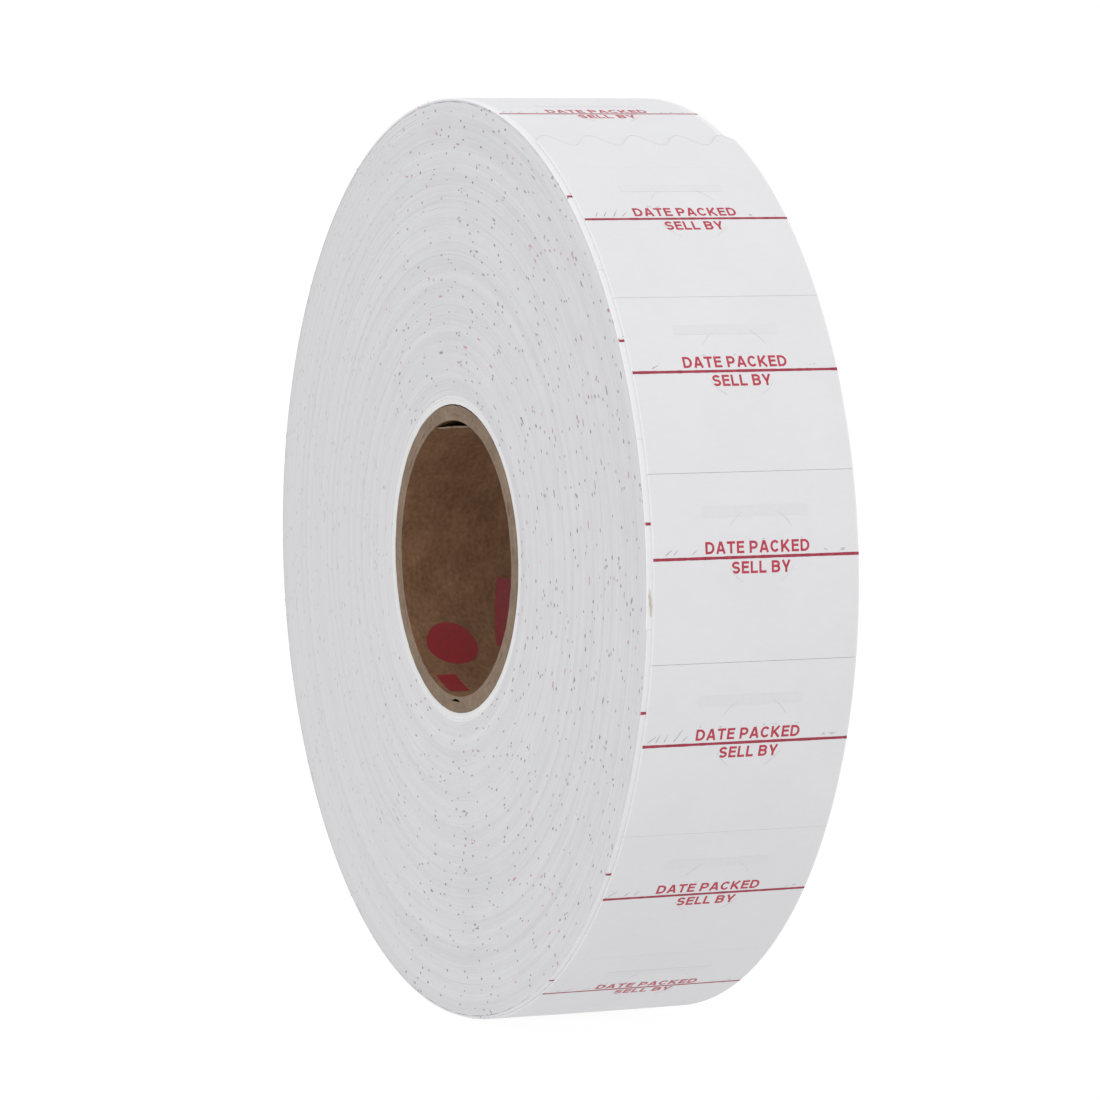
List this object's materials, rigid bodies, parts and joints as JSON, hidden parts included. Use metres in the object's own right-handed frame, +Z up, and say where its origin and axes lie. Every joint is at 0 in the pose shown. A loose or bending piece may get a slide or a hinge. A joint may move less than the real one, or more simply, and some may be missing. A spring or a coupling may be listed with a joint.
{
  "type": "price label roll",
  "caption": "Roll of die-cut price-marking labels wound label side out on a kraft paper core, with a loose free end that lifts and a leading label that peels.",
  "frame": {"origin": "centre of the core's bore, half way along it", "axes": "+Y along the roll's axis, towards the side that the outer lap has slipped to; +Z up, with the roll upright as it hangs on a labeller's spindle"},
  "size_m": [0.082, 0.0195, 0.082],
  "materials": {
    "label_paper": "matt",
    "liner_paper": "satin",
    "wound_paper": "matt",
    "kraft_core": "matt"
  },
  "bodies": {
    "roll": {"core_inner_ply": "kraft_core", "core_middle_ply": "kraft_core", "core_outer_ply": "kraft_core", "leader_laps": "liner_paper", "wound_laps": "wound_paper", "covered_lap_liner": "liner_paper", "covered_label_1": "label_paper", "covered_label_2": "label_paper", "covered_label_3": "label_paper", "covered_label_4": "label_paper", "outer_lap_liner": "liner_paper", "outer_label_01": "label_paper", "outer_label_02": "label_paper", "outer_label_03": "label_paper", "outer_label_04": "label_paper", "outer_label_05": "label_paper", "outer_label_06": "label_paper", "outer_label_07": "label_paper", "outer_label_08": "label_paper", "outer_label_09": "label_paper", "outer_label_10": "label_paper", "outer_label_11": "label_paper", "outer_label_12": "label_paper"},
    "tail_base": {"tail_liner_base": "liner_paper", "tail_label_base": "label_paper"},
    "tail_middle": {"tail_liner_middle": "liner_paper", "tail_label_middle": "label_paper"},
    "tail_end": {"tail_liner_end": "liner_paper", "cut_label_stub": "label_paper"},
    "leading_label": {"leading_label": "label_paper"}
  },
  "joints": [
    {"name": "tail_base_fold", "type": "hinge", "parent": "roll", "child": "tail_base", "pos_m": [0.04046, 0.00052, -0.00604], "axis": [0, 1, 0], "range_deg": [0, 60], "stiffness_Nm_per_rad": 0.0003, "springref_deg": -5.73},
    {"name": "tail_middle_fold", "type": "hinge", "parent": "tail_base", "child": "tail_middle", "pos_m": [0.03974, 0.00052, 0.00972], "axis": [0, 1, 0], "range_deg": [0, 60], "stiffness_Nm_per_rad": 0.0003, "springref_deg": -5.73},
    {"name": "tail_end_fold", "type": "hinge", "parent": "tail_middle", "child": "tail_end", "pos_m": [0.03311, 0.00052, 0.02403], "axis": [0, 1, 0], "range_deg": [0, 60], "stiffness_Nm_per_rad": 0.0003, "springref_deg": -5.73},
    {"name": "leading_label_peel", "type": "hinge", "parent": "tail_end", "child": "leading_label", "pos_m": [0.03306, 0.00052, 0.02413], "axis": [0, 1, 0], "range_deg": [0, 90]}
  ]
}
